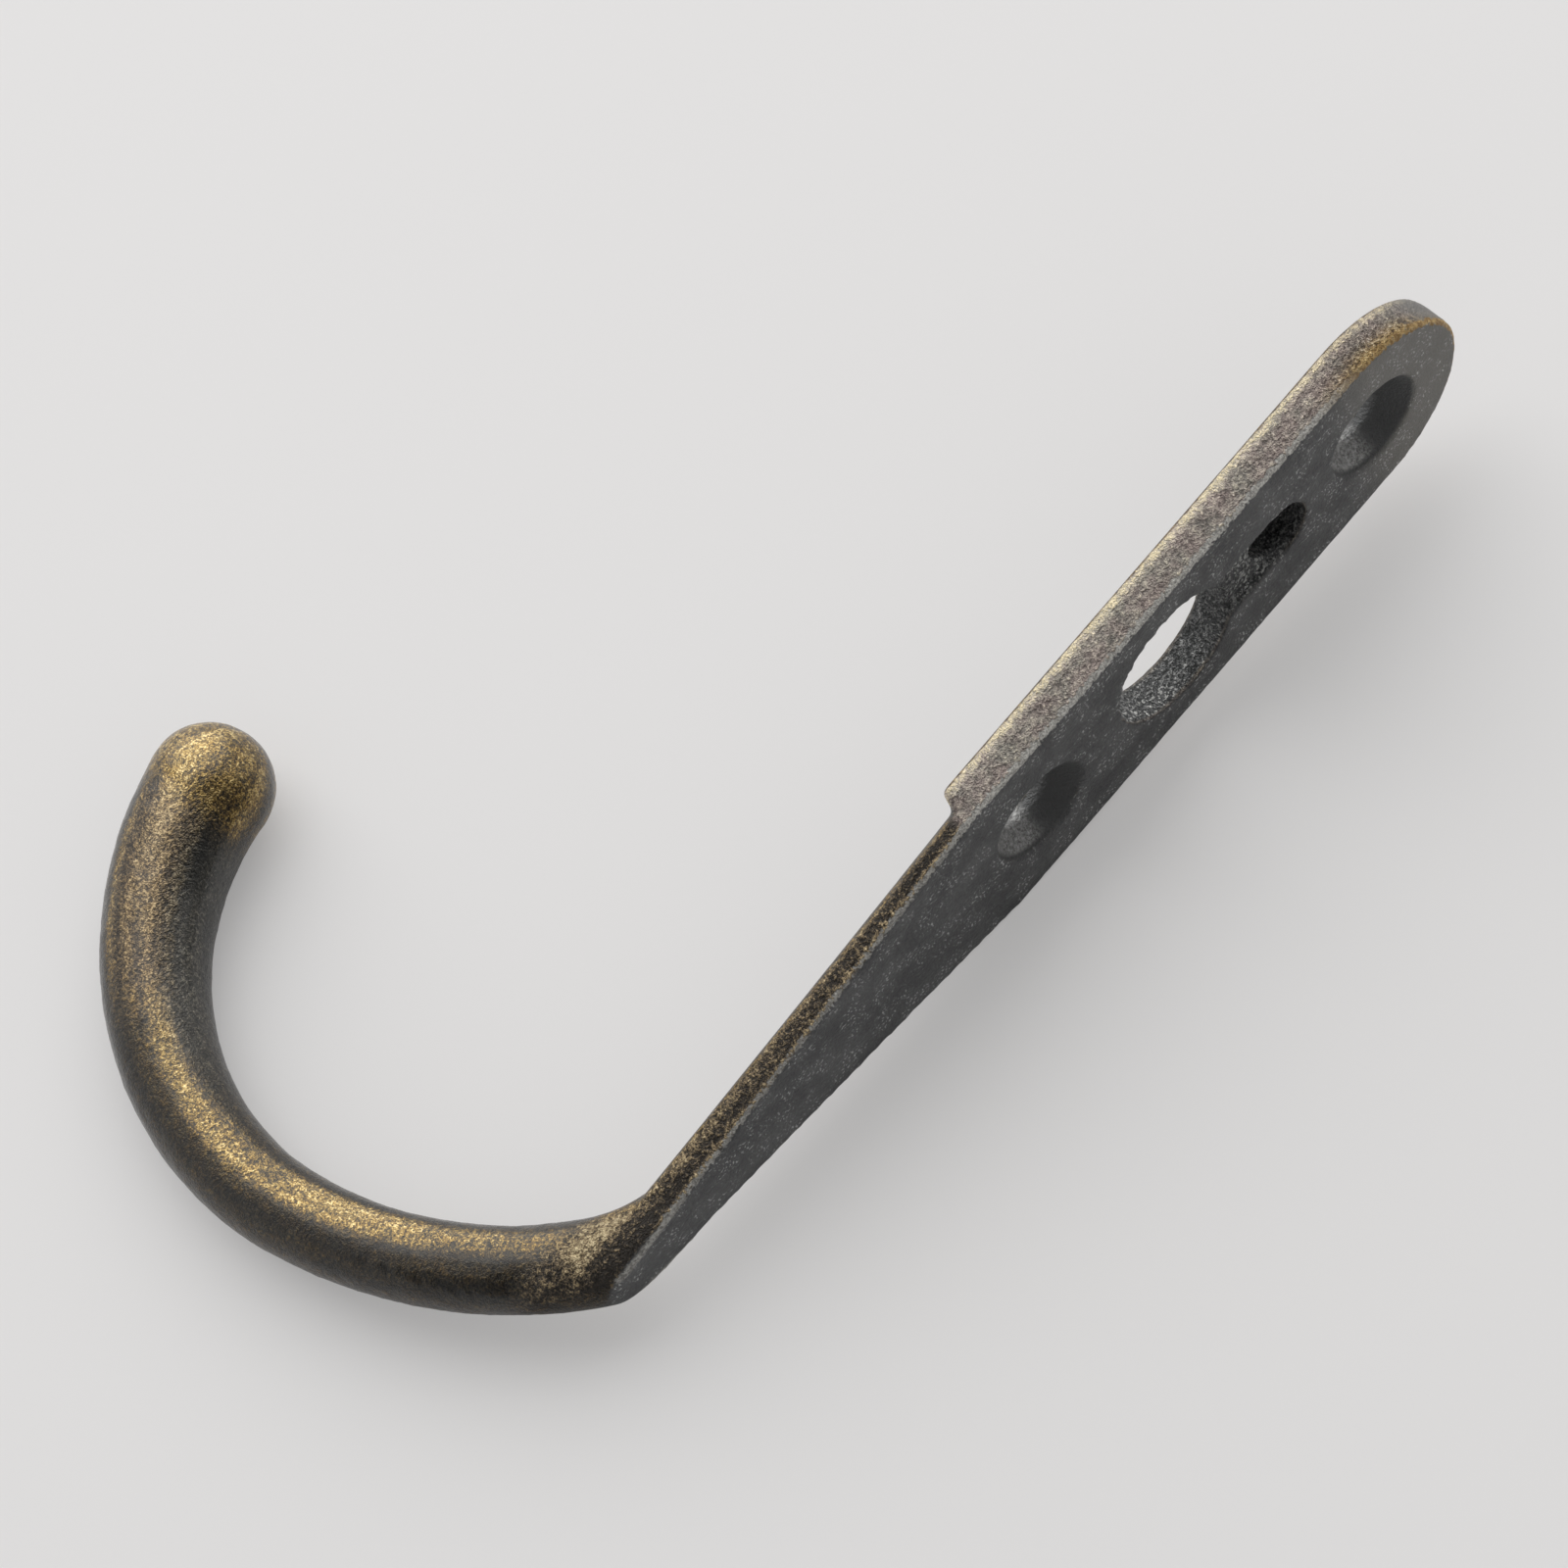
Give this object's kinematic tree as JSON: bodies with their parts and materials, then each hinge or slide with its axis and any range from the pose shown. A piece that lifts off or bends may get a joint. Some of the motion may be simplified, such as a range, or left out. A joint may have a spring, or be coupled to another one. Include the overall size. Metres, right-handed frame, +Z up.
{
  "type": "coat hook",
  "caption": "Cast single-prong coat hook: a flat round-topped plate with screw holes and a keyhole, a tapering stem and a round arm curling up to a ball end.",
  "frame": {"origin": "centre of the round keyhole opening on the plate's flat back face", "axes": "+Z up the plate as mounted, +Y out of the back face towards the wall, arm reaching towards -Y"},
  "size_m": [0.0128, 0.0403, 0.0757],
  "materials": {
    "antique_brass": "antique brass over a rough casting: gold rubbed through on the round arm, dark on the back"
  },
  "bodies": {
    "root": {"coat_hook": "antique_brass"}
  },
  "joints": []
}
